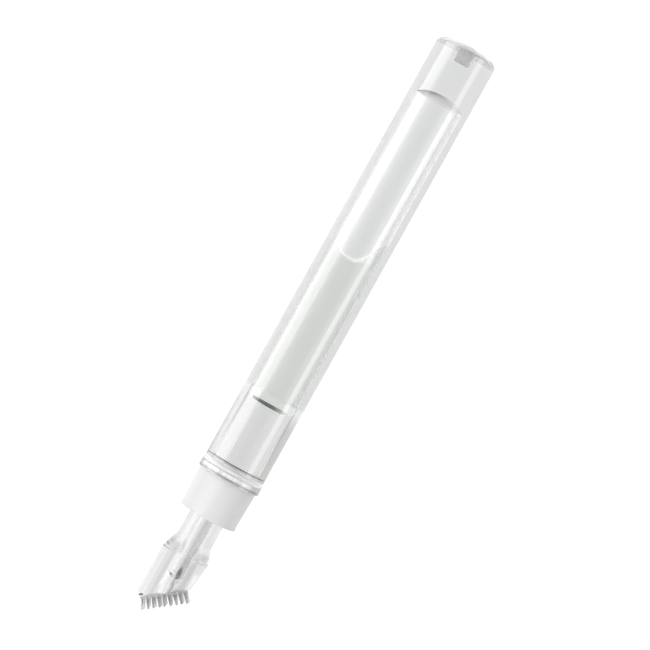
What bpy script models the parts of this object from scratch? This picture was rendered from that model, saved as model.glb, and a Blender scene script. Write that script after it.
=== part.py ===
"""Lens cleaning pen with a press-to-feed brush head, lying on its side.

Metres, +Z up. The pen lies along X with its brush towards +X and its axis level. The origin is on the
surface that the pen rests on, under the middle of its length. Every station below is a distance along
the axis from one datum, which lies just inside the pen's back face.
"""

import math

import bmesh
import bpy
from mathutils import Matrix, Vector

MM = 0.001
GAP = 0.3 * MM  # left between pieces that touch on the real pen
MERGE = 0.001 * MM
SIDES = 32  # facets of the large round pieces
SMALL_SIDES = 24
ARC_STEPS = 5
SHARP_ANGLE = math.radians(35)

# Barrel: one thick clear moulding, closed at the back, bored from the front.
BARREL_RADIUS = 6.0 * MM
BARREL_END = 86.9 * MM
BACK_FACE = -0.75 * MM
BACK_FLAT_RADIUS = 3.8 * MM  # flat middle of the back face, inside its rounded edge
BACK_EDGE_DEPTH = 1.2 * MM
BORE_RADIUS = 3.15 * MM
BORE_DOME_APEX = 9.5 * MM
BORE_DOME_DEPTH = 1.6 * MM
GATE_RADIUS = 1.2 * MM
GATE_END = 2.7 * MM

# Cleaning fluid, held as a slug between its meniscus and the front plug.
FLUID_RADIUS = BORE_RADIUS - GAP
MENISCUS_CENTRE = 43.7 * MM
MENISCUS_RIM = 39.4 * MM
FLUID_END = 73.05 * MM

# Front plug: cup-ended shaft in the bore, flange outside, spigot and boss inside the collar.
PLUG_FLOOR = 74.2 * MM
PLUG_CUP_RADIUS = 2.65 * MM
PLUG_CUP_FILLET = 0.5 * MM
PLUG_LIP = 72.6 * MM
PLUG_SHAFT_RADIUS = BORE_RADIUS - GAP
PLUG_BORE_RADIUS = 1.4 * MM
FLANGE_RADIUS = 6.2 * MM
FLANGE_START = 88.0 * MM
FLANGE_END = 89.4 * MM
SPIGOT_RADIUS = 4.3 * MM
SPIGOT_END = 91.0 * MM
BOSS_RADIUS = 2.7 * MM
BOSS_END = 92.8 * MM
SEAL_POCKET_RADIUS = 2.2 * MM
SEAL_POCKET_START = 91.6 * MM

GASKET_RADIUS = 6.05 * MM
GASKET_START = BARREL_END + GAP
GASKET_END = FLANGE_START - GAP

# Valve and feed: the disc rests on the plug's floor and the stem carries it.
DISC_RADIUS = 2.3 * MM
DISC_START = 73.35 * MM
DISC_END = PLUG_FLOOR - GAP
STEM_RADIUS = 1.0 * MM
STEM_BORE_RADIUS = 0.5 * MM
STEM_START = PLUG_FLOOR
STEM_END = 108.8 * MM
STEM_NOTCH_WIDTH = 0.5 * MM
STEM_NOTCH_DEPTH = 0.8 * MM
SEAL_CENTRE = 92.2 * MM
SEAL_RING_RADIUS = 1.6 * MM
SEAL_CORD_RADIUS = 0.3 * MM

# Return spring between the spigot and the head's shoulder.
SPRING_RADIUS = 3.25 * MM
SPRING_WIRE_RADIUS = 0.2 * MM
SPRING_START = 91.5 * MM
SPRING_END = 94.6 * MM
SPRING_TURNS = 3
SPRING_STEPS_PER_TURN = 18

# Collar: frosted sleeve that holds the head in.
COLLAR_START = FLANGE_END + GAP
COLLAR_END = 97.2 * MM
COLLAR_TOP_RADIUS = 5.72 * MM
COLLAR_LOW_RADIUS = 5.5 * MM
COLLAR_LIP_RADIUS = 5.6 * MM
COLLAR_LIP_LENGTH = 0.6 * MM
COLLAR_BORE_RADIUS = SPIGOT_RADIUS + GAP
MOUTH_RADIUS = 3.75 * MM
MOUTH_START = 96.2 * MM

# Brush head: shoulder, round neck, flare, then a flat paddle with a round core.
SHOULDER_RADIUS = 4.2 * MM
SHOULDER_START = 95.1 * MM
SHOULDER_END = MOUTH_START - GAP
NECK_RADIUS = 3.43 * MM
FLARE_START = 101.7 * MM
FLARE_END = 105.4 * MM
FLARE_RADIUS = 4.5 * MM
FLARE_FLATTENING = 0.28  # share of its height that the flare has lost where the paddle starts
CORE_RADIUS = 2.75 * MM
CORE_RECESS = 0.3 * MM
PADDLE_START = 104.0 * MM
PADDLE_HALF_THICKNESS = 2.1 * MM
PADDLE_LEFT = -4.6 * MM
PADDLE_RIGHT_TOP = 4.4 * MM
PADDLE_RIGHT_LOW = 3.9 * MM
PADDLE_CORNER = 1.0 * MM
PADDLE_BEVEL = 0.4 * MM
CHANNEL_RADIUS = STEM_RADIUS + GAP
CHANNEL_END = 109.2 * MM
OUTLET_RADIUS = 0.45 * MM

# Slanted brush face: two points on it, as (station, distance to the right of the axis).
FACE_LONG_SIDE = Vector((116.4 * MM, -3.3 * MM, 0))
FACE_SHORT_SIDE = Vector((111.1 * MM, 3.75 * MM, 0))
PAD_THICKNESS = 0.7 * MM
PAD_WIDTH = 4.2 * MM
NUB_COLUMNS = 9
NUB_ROWS = 5
NUB_LENGTH = 1.8 * MM
NUB_WIDTH = 0.56 * MM
NUB_TIP_SCALE = 0.75

FACE_ALONG = (FACE_SHORT_SIDE - FACE_LONG_SIDE).normalized()
FACE_OUT = FACE_ALONG.cross(Vector((0, 0, 1)))
FACE_LENGTH = (FACE_SHORT_SIDE - FACE_LONG_SIDE).length
FACE_MIDDLE = (FACE_SHORT_SIDE + FACE_LONG_SIDE) / 2

# The flange is the widest piece, and one of its facets rests on the surface.
AXIS_HEIGHT = FLANGE_RADIUS * math.cos(math.pi / SIDES)


def clear_scene():
    for obj in list(bpy.data.objects):
        bpy.data.objects.remove(obj, do_unlink=True)


def plastic(name, colour, roughness, metallic=0.0, transmission=0.0):
    """A Principled material with one colour."""
    material = bpy.data.materials.new(name)
    material.use_nodes = True
    shader = material.node_tree.nodes["Principled BSDF"]
    shader.inputs["Base Color"].default_value = (*colour, 1)
    shader.inputs["Roughness"].default_value = roughness
    shader.inputs["Metallic"].default_value = metallic
    shader.inputs["Transmission Weight"].default_value = transmission
    material.diffuse_color = (*colour, 1)
    return material


def station_frame(name, station, parent=None):
    """An empty on the pen's axis that the pieces of one moving group hang from."""
    frame = bpy.data.objects.new(name, None)
    bpy.context.collection.objects.link(frame)
    frame.parent = parent
    frame.location.x = station
    return frame


def as_object(name, bm, material):
    """Turn a finished bmesh, drawn in pen coordinates, into a smooth-shaded object."""
    bmesh.ops.remove_doubles(bm, verts=bm.verts, dist=MERGE)
    bmesh.ops.recalc_face_normals(bm, faces=bm.faces)
    mesh = bpy.data.meshes.new(name)
    bm.to_mesh(mesh)
    bm.free()
    if material:
        mesh.materials.append(material)
    mesh.shade_smooth()
    mesh.set_sharp_from_angle(angle=SHARP_ANGLE)
    obj = bpy.data.objects.new(name, mesh)
    bpy.context.collection.objects.link(obj)
    return obj


def hang(obj, frame):
    """Parent a piece to its group's empty, leaving it where it was drawn."""
    obj.parent = frame
    obj.location.x = -sum(step.location.x for step in (frame, frame.parent) if step)


def helper(obj):
    """Mark an object as a cutter or an ingredient that isn't a piece of the pen."""
    obj.hide_render = True
    obj.display_type = "WIRE"
    return obj


def arc(centre_x, centre_r, radius, from_deg, to_deg, steps=ARC_STEPS):
    """Points of an arc in the (station, radius) plane."""
    angles = [math.radians(from_deg + (to_deg - from_deg) * i / steps) for i in range(steps + 1)]
    return [(centre_x + radius * math.cos(a), centre_r + radius * math.sin(a)) for a in angles]


def dome(apex, depth, radius, flat, steps):
    """Points of an elliptical edge, from its rim in to the radius where the end is flat."""
    angles = [math.pi / 2 * i / steps for i in range(steps + 1)]
    across = radius - flat
    return [(apex + depth * (1 - math.sin(a)), flat + across * math.cos(a)) for a in angles]


def turned(name, outline, material=None, sides=SIDES, ring=False):
    """Spin (station, radius) points about the pen's axis, with a facet facing straight down."""
    bm = bmesh.new()
    half_step = Matrix.Rotation(math.pi / sides, 3, "X")
    points = [bm.verts.new(half_step @ Vector((x, 0, -max(r, 0)))) for x, r in outline]
    pairs = list(zip(points, points[1:]))
    if ring:
        pairs.append((points[-1], points[0]))
    edges = [bm.edges.new(pair) for pair in pairs]
    bmesh.ops.spin(
        bm, geom=points + edges, cent=(0, 0, 0), axis=(1, 0, 0), steps=sides, angle=2 * math.pi
    )
    return as_object(name, bm, material)


def combine(obj, other, operation):
    """Add a Boolean modifier that unites a helper with a piece, or cuts it away. They move together."""
    other.parent = obj
    modifier = obj.modifiers.new(f"{operation.lower()}_{other.name}", "BOOLEAN")
    modifier.operation = operation
    modifier.solver = "EXACT"
    modifier.object = other


def make_barrel(material):
    back_edge = dome(BACK_FACE, BACK_EDGE_DEPTH, BARREL_RADIUS, BACK_FLAT_RADIUS, ARC_STEPS)
    outline = [(GATE_END, 0), (GATE_END, GATE_RADIUS), (BACK_FACE, GATE_RADIUS)]
    outline += reversed(back_edge)
    outline += [(BARREL_END, BARREL_RADIUS), (BARREL_END, BORE_RADIUS)]
    outline += dome(BORE_DOME_APEX, BORE_DOME_DEPTH, BORE_RADIUS, 0, 2 * ARC_STEPS)
    return turned("barrel", outline, material)


def make_fluid(material):
    """The slug's back end is a hollow bowl, because the fluid climbs the bore's wall."""
    depth = MENISCUS_CENTRE - MENISCUS_RIM
    bowl = []
    for i in range(2 * ARC_STEPS + 1):
        share = i / (2 * ARC_STEPS)
        bowl.append((MENISCUS_CENTRE - depth * share**3, FLUID_RADIUS * share))
    outline = bowl + [
        (PLUG_LIP - GAP, FLUID_RADIUS),
        (PLUG_LIP - GAP, PLUG_CUP_RADIUS - GAP),
        (FLUID_END, DISC_RADIUS),
        (FLUID_END, 0),
    ]
    return turned("cleaning_fluid", outline, material)


def make_front_plug(material):
    cup_centre = PLUG_CUP_RADIUS - PLUG_CUP_FILLET
    outline = [(PLUG_FLOOR, PLUG_BORE_RADIUS)]
    outline += arc(PLUG_FLOOR - PLUG_CUP_FILLET, cup_centre, PLUG_CUP_FILLET, 0, 90)
    outline += [
        (PLUG_LIP, PLUG_CUP_RADIUS),
        (PLUG_LIP, PLUG_SHAFT_RADIUS),
        (FLANGE_START, PLUG_SHAFT_RADIUS),
        (FLANGE_START, FLANGE_RADIUS),
        (FLANGE_END, FLANGE_RADIUS),
        (FLANGE_END, SPIGOT_RADIUS),
        (SPIGOT_END, SPIGOT_RADIUS),
        (SPIGOT_END, BOSS_RADIUS),
        (BOSS_END, BOSS_RADIUS),
        (BOSS_END, SEAL_POCKET_RADIUS),
        (SEAL_POCKET_START, SEAL_POCKET_RADIUS),
        (SEAL_POCKET_START, PLUG_BORE_RADIUS),
    ]
    return turned("front_plug", outline, material, ring=True)


def make_gasket(material):
    outline = [
        (GASKET_START, BORE_RADIUS),
        (GASKET_START, GASKET_RADIUS),
        (GASKET_END, GASKET_RADIUS),
        (GASKET_END, BORE_RADIUS),
    ]
    return turned("flange_gasket", outline, material, ring=True)


def make_valve_disc(material):
    outline = [(DISC_START, 0), (DISC_START, DISC_RADIUS), (DISC_END, DISC_RADIUS), (DISC_END, 0)]
    return turned("valve_disc", outline, material, SMALL_SIDES)


def make_stem(material):
    """A fine tube, notched across its top so that fluid can enter under the lifted disc."""
    outline = [
        (STEM_START, STEM_BORE_RADIUS),
        (STEM_START, STEM_RADIUS),
        (STEM_END, STEM_RADIUS),
        (STEM_END, STEM_BORE_RADIUS),
    ]
    stem = turned("feed_stem", outline, material, SMALL_SIDES, ring=True)
    bm = bmesh.new()
    bmesh.ops.create_cube(bm, size=1)
    bmesh.ops.scale(bm, vec=(2 * STEM_NOTCH_DEPTH, 4 * STEM_RADIUS, STEM_NOTCH_WIDTH), verts=bm.verts)
    bmesh.ops.translate(bm, vec=(STEM_START, 0, 0), verts=bm.verts)
    combine(stem, helper(as_object("stem_notch", bm, None)), "DIFFERENCE")
    return stem


def make_stem_seal(material):
    cord = arc(SEAL_CENTRE, SEAL_RING_RADIUS, SEAL_CORD_RADIUS, 180, -180, 8)[:-1]
    return turned("stem_o_ring", cord, material, SMALL_SIDES, ring=True)


def make_spring(material):
    """A short coil of round wire, drawn as a helix about the pen's axis."""
    curve = bpy.data.curves.new("return_spring", "CURVE")
    curve.dimensions = "3D"
    curve.bevel_depth = SPRING_WIRE_RADIUS
    curve.bevel_resolution = 2
    curve.use_fill_caps = True
    spline = curve.splines.new("POLY")
    steps = SPRING_TURNS * SPRING_STEPS_PER_TURN
    spline.points.add(steps)
    for i, point in enumerate(spline.points):
        angle = 2 * math.pi * i / SPRING_STEPS_PER_TURN
        station = SPRING_START + (SPRING_END - SPRING_START) * i / steps
        point.co = (station, SPRING_RADIUS * math.sin(angle), SPRING_RADIUS * math.cos(angle), 1)
    spline.use_smooth = True
    curve.materials.append(material)
    spring = bpy.data.objects.new("return_spring", curve)
    bpy.context.collection.objects.link(spring)
    return spring


def make_collar(material):
    lip_start = COLLAR_END - COLLAR_LIP_LENGTH
    outline = [
        (COLLAR_START, COLLAR_BORE_RADIUS),
        (COLLAR_START, COLLAR_TOP_RADIUS),
        (lip_start, COLLAR_LOW_RADIUS),
        (lip_start + COLLAR_LIP_LENGTH / 3, COLLAR_LIP_RADIUS),
        (COLLAR_END, COLLAR_LIP_RADIUS),
        (COLLAR_END, MOUTH_RADIUS),
        (MOUTH_START, MOUTH_RADIUS),
        (MOUTH_START, COLLAR_BORE_RADIUS),
    ]
    return turned("collar", outline, material, ring=True)


def paddle_outline(inset):
    """The flat paddle seen from above, its slanted edge set back from the brush face by inset."""
    long_end = FACE_LONG_SIDE - FACE_OUT * inset
    short_end = FACE_SHORT_SIDE - FACE_OUT * inset
    points = [Vector((PADDLE_START, -NECK_RADIUS, 0)), Vector((FLARE_END, PADDLE_LEFT, 0))]
    corner = Vector((long_end.x - PADDLE_CORNER / 2, PADDLE_LEFT, 0))
    knee = corner + Vector((PADDLE_CORNER, 0, 0))
    for i in range(ARC_STEPS + 1):
        t = i / ARC_STEPS
        points.append(corner * (1 - t) ** 2 + knee * 2 * t * (1 - t) + long_end * t**2)
    points += [short_end, Vector((short_end.x - PADDLE_CORNER, PADDLE_RIGHT_LOW, 0))]
    points += [Vector((FLARE_END, PADDLE_RIGHT_TOP, 0)), Vector((PADDLE_START, NECK_RADIUS, 0))]
    return points


def make_paddle(inset):
    bm = bmesh.new()
    bottom = [bm.verts.new(p - Vector((0, 0, PADDLE_HALF_THICKNESS))) for p in paddle_outline(inset)]
    face = bm.faces.new(bottom)
    raised = bmesh.ops.extrude_face_region(bm, geom=[face])
    top = [part for part in raised["geom"] if isinstance(part, bmesh.types.BMVert)]
    bmesh.ops.translate(bm, vec=(0, 0, 2 * PADDLE_HALF_THICKNESS), verts=top)
    rims = [edge for edge in bm.edges if edge.verts[0].co.z == edge.verts[1].co.z]
    bmesh.ops.bevel(bm, geom=rims, offset=PADDLE_BEVEL, segments=1, affect="EDGES", profile=0.5)
    return helper(as_object("paddle", bm, None))


def make_core(inset):
    """A round bar through the paddle, cut off square to the brush face."""
    bm = bmesh.new()
    bar_length = FACE_LONG_SIDE.x - FLARE_START
    turn = Matrix.Rotation(math.pi / 2, 4, "Y")
    middle = Matrix.Translation((FLARE_START + bar_length / 2, 0, 0))
    bmesh.ops.create_cone(
        bm,
        cap_ends=True,
        segments=SMALL_SIDES,
        radius1=CORE_RADIUS,
        radius2=CORE_RADIUS,
        depth=bar_length,
        matrix=middle @ turn,
    )
    everything = bm.verts[:] + bm.edges[:] + bm.faces[:]
    cut = bmesh.ops.bisect_plane(
        bm,
        geom=everything,
        plane_co=FACE_MIDDLE - FACE_OUT * inset,
        plane_no=FACE_OUT,
        clear_outer=True,
    )
    rim = [part for part in cut["geom_cut"] if isinstance(part, bmesh.types.BMEdge)]
    bmesh.ops.contextual_create(bm, geom=rim)
    return helper(as_object("core", bm, None))


def make_brush_head(material):
    """Shoulder, neck and flare are turned, then joined with the paddle and bored for the stem.

    The flare grows wider and flatter at once, to meet the flat paddle.
    """
    flare_length = FLARE_END - FLARE_START
    outline = [
        (SHOULDER_START, 0),
        (SHOULDER_START, SHOULDER_RADIUS),
        (SHOULDER_END, SHOULDER_RADIUS),
        (SHOULDER_END, NECK_RADIUS),
        (FLARE_START, NECK_RADIUS),
        (FLARE_START + flare_length / 2, (NECK_RADIUS + FLARE_RADIUS) / 2 - MM / 10),
        (FLARE_END, FLARE_RADIUS),
        (FLARE_END, 0),
    ]
    head = turned("brush_head", outline, material)
    for vert in head.data.vertices:
        along_flare = max(vert.co.x - FLARE_START, 0) / flare_length
        vert.co.z *= 1 - FLARE_FLATTENING * along_flare
    channel = [
        (SHOULDER_START - MM, 0),
        (SHOULDER_START - MM, CHANNEL_RADIUS),
        (CHANNEL_END, CHANNEL_RADIUS),
        (CHANNEL_END + MM, OUTLET_RADIUS),
        (FACE_LONG_SIDE.x, OUTLET_RADIUS),
        (FACE_LONG_SIDE.x, 0),
    ]
    inset = PAD_THICKNESS + GAP
    combine(head, make_paddle(inset), "UNION")
    combine(head, make_core(inset + CORE_RECESS), "UNION")
    combine(head, helper(turned("channel", channel, None, SMALL_SIDES)), "DIFFERENCE")
    return head


def make_nub_pad(material):
    """A thin pad on the slanted face, with a block of short tapered nubs grown from its grid."""
    bm = bmesh.new()
    bmesh.ops.create_grid(bm, x_segments=NUB_COLUMNS, y_segments=NUB_ROWS, size=0.5)
    bmesh.ops.scale(bm, vec=(FACE_LENGTH, PAD_WIDTH, 1), verts=bm.verts)
    cells = bm.faces[:]
    rim = [edge for edge in bm.edges if edge.is_boundary]
    sides = bmesh.ops.extrude_edge_only(bm, edges=rim)
    low_edges = [part for part in sides["geom"] if isinstance(part, bmesh.types.BMEdge)]
    low_verts = [part for part in sides["geom"] if isinstance(part, bmesh.types.BMVert)]
    bmesh.ops.translate(bm, vec=(0, 0, -PAD_THICKNESS), verts=low_verts)
    bmesh.ops.contextual_create(bm, geom=low_edges)
    cell_width = min(FACE_LENGTH / NUB_COLUMNS, PAD_WIDTH / NUB_ROWS)
    bmesh.ops.inset_individual(bm, faces=cells, thickness=(cell_width - NUB_WIDTH) / 2)
    outlet = min(cells, key=lambda cell: cell.calc_center_median().length)
    cells.remove(outlet)
    for nub in bmesh.ops.extrude_discrete_faces(bm, faces=cells)["faces"]:
        centre = nub.calc_center_median()
        for vert in nub.verts:
            vert.co = centre + (vert.co - centre) * NUB_TIP_SCALE + Vector((0, 0, NUB_LENGTH))
    to_face = Matrix((FACE_ALONG, (0, 0, 1), FACE_OUT)).transposed()
    bmesh.ops.transform(bm, matrix=to_face.to_4x4(), verts=bm.verts)
    bmesh.ops.translate(bm, vec=FACE_MIDDLE, verts=bm.verts)
    pad = as_object("nub_pad", bm, material)
    hole = turned("outlet_hole", [
        (FLARE_END, 0),
        (FLARE_END, OUTLET_RADIUS / 2),
        (FACE_LONG_SIDE.x, OUTLET_RADIUS / 2),
        (FACE_LONG_SIDE.x, 0),
    ], None, 12)
    hole.data.transform(Matrix.Translation((0, FACE_MIDDLE.y, 0)))
    combine(pad, helper(hole), "DIFFERENCE")
    return pad


def longest_reach(obj):
    """The station of the piece's farthest point along the pen's axis."""
    return max(vert.co.x for vert in obj.data.vertices)


def build():
    clear_scene()
    clear = plastic("clear_plastic", (0.93, 0.95, 0.95), 0.05, transmission=1.0)
    fluid = plastic("fluid", (0.88, 0.90, 0.87), 0.0, transmission=1.0)
    silicone = plastic("clear_silicone", (0.88, 0.90, 0.90), 0.25, transmission=0.9)
    frosted = plastic("frosted_white", (0.90, 0.90, 0.90), 0.45)
    rubber = plastic("dark_rubber", (0.06, 0.065, 0.065), 0.6)
    steel = plastic("spring_steel", (0.72, 0.73, 0.75), 0.3, metallic=1.0)

    pen = station_frame("pen_frame", 0)
    nozzle = station_frame("nozzle_slide", FLANGE_START, pen)
    head = station_frame("head_slide", MOUTH_START - FLANGE_START, nozzle)

    fixed = [make_barrel(clear), make_fluid(fluid)]
    pulled = [
        make_front_plug(clear),
        make_gasket(silicone),
        make_stem_seal(rubber),
        make_spring(steel),
        make_collar(frosted),
    ]
    pad = make_nub_pad(silicone)
    pressed = [make_valve_disc(rubber), make_stem(clear), make_brush_head(clear), pad]
    for group, frame in ((fixed, pen), (pulled, nozzle), (pressed, head)):
        for piece in group:
            hang(piece, frame)

    front = longest_reach(pad)
    pen.location = (-(front + BACK_FACE) / 2, 0, AXIS_HEIGHT)
    print(f"overall length {(front - BACK_FACE) / MM:.2f} mm, axis height {AXIS_HEIGHT / MM:.3f} mm")
    print(f"back face at x = {(pen.location.x + BACK_FACE) / MM:.3f} mm")


build()
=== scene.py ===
# %% [markdown]
# # A clear lens cleaning pen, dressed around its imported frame
# The frame is the working model: it says where each part sits and how it moves. This lesson gives
# each part a fine mesh and a real finish. The parts are turned, lofted or moulded in code, so every
# curve can be changed by changing a number. The first cell loads the frame and keeps its box.

# %% Load the frame
import math
import random

import bmesh
import bpy
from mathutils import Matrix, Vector


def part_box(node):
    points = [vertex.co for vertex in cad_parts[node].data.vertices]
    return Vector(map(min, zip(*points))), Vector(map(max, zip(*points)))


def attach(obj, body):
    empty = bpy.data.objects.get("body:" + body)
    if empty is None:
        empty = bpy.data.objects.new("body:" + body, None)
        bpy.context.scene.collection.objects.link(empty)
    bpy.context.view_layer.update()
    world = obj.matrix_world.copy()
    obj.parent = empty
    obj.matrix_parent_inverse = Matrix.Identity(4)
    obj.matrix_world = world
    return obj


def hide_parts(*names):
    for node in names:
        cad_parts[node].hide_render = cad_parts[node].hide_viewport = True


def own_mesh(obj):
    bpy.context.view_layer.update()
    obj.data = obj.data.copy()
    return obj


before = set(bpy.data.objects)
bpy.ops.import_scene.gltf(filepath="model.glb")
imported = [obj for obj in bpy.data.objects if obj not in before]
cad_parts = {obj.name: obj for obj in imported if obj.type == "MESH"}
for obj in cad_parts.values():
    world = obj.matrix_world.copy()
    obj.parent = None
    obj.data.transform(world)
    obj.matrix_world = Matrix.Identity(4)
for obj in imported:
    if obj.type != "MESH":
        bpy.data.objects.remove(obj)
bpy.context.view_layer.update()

# %% [markdown]
# The pen lies along X with its brush towards +X. All its pieces are easiest to draw as stations: a
# distance along the axis in millimetres, from a datum just inside the back face. The frame's own
# boxes fix that datum, the height of the axis and the main radii.

# %% Stations and radii from the frame
MM = 0.001
FACETS = 32  # sides of the frame's turned parts, which make them a little slimmer than a true circle


def span(node):
    """First and last x of a frame node."""
    low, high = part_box(node)
    return low.x, high.x


def true_radius(node):
    """The radius that a frame node's facets are drawn in."""
    low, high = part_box(node)
    return (high.y - low.y) / 2 / math.cos(math.pi / FACETS)


barrel_low, barrel_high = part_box("barrel")
BACK_SET = -0.75  # station of the back face
DATUM = barrel_low.x - BACK_SET * MM
AXIS_HEIGHT = (barrel_low.z + barrel_high.z) / 2
BARREL_R = true_radius("barrel") / MM
FLANGE_R = true_radius("front_plug") / MM
COLLAR_R = true_radius("collar") / MM


def station(node, end):
    """The station in millimetres where a frame node starts (0) or ends (1)."""
    return (span(node)[end] - DATUM) / MM


BARREL_END = station("barrel", 1)
COLLAR_START = station("collar", 0)
COLLAR_END = station("collar", 1)
STEM_END = station("feed_stem", 1)
HEAD_START = station("brush_head", 0)
print(f"axis at {AXIS_HEIGHT / MM:.2f} mm, barrel radius {BARREL_R:.2f} mm, mouth at {BARREL_END:.1f} mm")
print(f"collar from {COLLAR_START:.1f} to {COLLAR_END:.1f} mm, head from {HEAD_START:.1f} mm")

# %% [markdown]
# ## Skinning rings
# A turned or moulded part is a row of closed rings with a skin between them. One helper can make
# all of them: it takes the rings, joins each to the next, and closes the last to the first for a
# hollow part. Blender's Screw and Skin modifiers do similar work, but plain rings let each band of
# the skin carry its own finish, which a clear part needs inside its bore.

# %% Skin a row of rings
SMOOTH_UP_TO = math.radians(32)


def skin(name, rings, hollow=False, finishes=(), finish_of=None):
    """A closed mesh over rings of points in metres. A ring with one point closes that end."""
    bm = bmesh.new()
    rows = [[bm.verts.new(point) for point in ring] for ring in rings]
    pairs = list(zip(rows, rows[1:]))
    if hollow:
        pairs.append((rows[-1], rows[0]))
    for band, (a, b) in enumerate(pairs):
        sides = max(len(a), len(b))
        for i in range(sides):
            j = (i + 1) % sides
            corners = [a[i % len(a)], a[j % len(a)], b[j % len(b)], b[i % len(b)]]
            corners = list(dict.fromkeys(corners))
            if len(corners) > 2:
                face = bm.faces.new(corners)
                face.material_index = finish_of(band) if finish_of else 0
    bmesh.ops.recalc_face_normals(bm, faces=bm.faces)
    return shown(name, bm, finishes)


def shown(name, bm, finishes):
    """Turn a bmesh into a smooth-shaded object in the scene."""
    mesh = bpy.data.meshes.new(name)
    bm.to_mesh(mesh)
    bm.free()
    mesh.shade_smooth()
    mesh.set_sharp_from_angle(angle=SMOOTH_UP_TO)
    for finish in finishes:
        mesh.materials.append(finish)
    piece = bpy.data.objects.new(name, mesh)
    bpy.context.scene.collection.objects.link(piece)
    return piece


print(f"edges sharper than {math.degrees(SMOOTH_UP_TO):.0f} degrees stay crisp")

# %% [markdown]
# ## Turning and easing
# Most of the pen's parts are round, so an outline of stations and radii is enough to spin them. Their
# eased edges are quarter ellipses worked out by a formula, so a softer edge needs only other end
# points.

# %% Turn an outline
ROUND = 320


def ring_at(along, radius, sides=ROUND):
    """A circle of points about the pen's axis, or one point where the radius is nothing."""
    x = DATUM + along * MM
    if radius <= 0:
        return [Vector((x, 0, AXIS_HEIGHT))]
    points = []
    for i in range(sides):
        turn = 2 * math.pi * i / sides
        across, up = radius * MM * math.sin(turn), radius * MM * math.cos(turn)
        points.append(Vector((x, across, AXIS_HEIGHT + up)))
    return points


def turned(name, outline, hollow=False, sides=ROUND, finishes=(), finish_of=None):
    """Spin an outline of (station, radius) points about the pen's axis."""
    rings = [ring_at(along, radius, sides) for along, radius in outline]
    piece = skin(name, rings, hollow, finishes, finish_of)
    print(f"{name}: {len(piece.data.polygons)} faces")
    return piece


def curve_between(start, end, bulge, steps=10):
    """Points of a quarter ellipse. It leaves start straight along ('along') or straight out ('out')."""
    points = []
    for i in range(steps + 1):
        turn = math.pi / 2 * i / steps
        first, second = math.sin(turn), 1 - math.cos(turn)
        along, out = (first, second) if bulge == "along" else (second, first)
        points.append((start[0] + (end[0] - start[0]) * along, start[1] + (end[1] - start[1]) * out))
    return points


print(f"turned parts have {ROUND} sides")

# %% [markdown]
# ## Shader arithmetic
# A finish is worked out as it would be on paper: a mask times a strength, one minus a mask. Blender
# does such sums with one Math node each. The small class here wraps a socket, so that Python's own
# signs add those nodes. Colours don't go through it, since a Math node would turn them grey.

# %% A socket with Python's signs
class Value:
    """A number that may change over the surface."""

    def __init__(self, finish, socket):
        self.finish = finish
        self.socket = socket

    def sum(self, operation, first, second):
        """One Math node."""
        return self.finish.node("ShaderNodeMath", {"operation": operation}, {0: first, 1: second})

    def __add__(self, other):
        return self.sum("ADD", self, other)

    __radd__ = __add__

    def __sub__(self, other):
        return self.sum("SUBTRACT", self, other)

    def __rsub__(self, other):
        return self.sum("SUBTRACT", other, self)

    def __mul__(self, other):
        return self.sum("MULTIPLY", self, other)

    __rmul__ = __mul__

print("a Value can be added, taken away and multiplied")

# %% [markdown]
# ## A finish
# Every material starts as Blender's own shader with a few even numbers on it. What varies over the
# surface is mixed from nodes, and one method makes them all, so each recipe below reads as a list of
# what is worn where. Places are given in millimetres on the piece, so marks stay on it as it moves.

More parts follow.
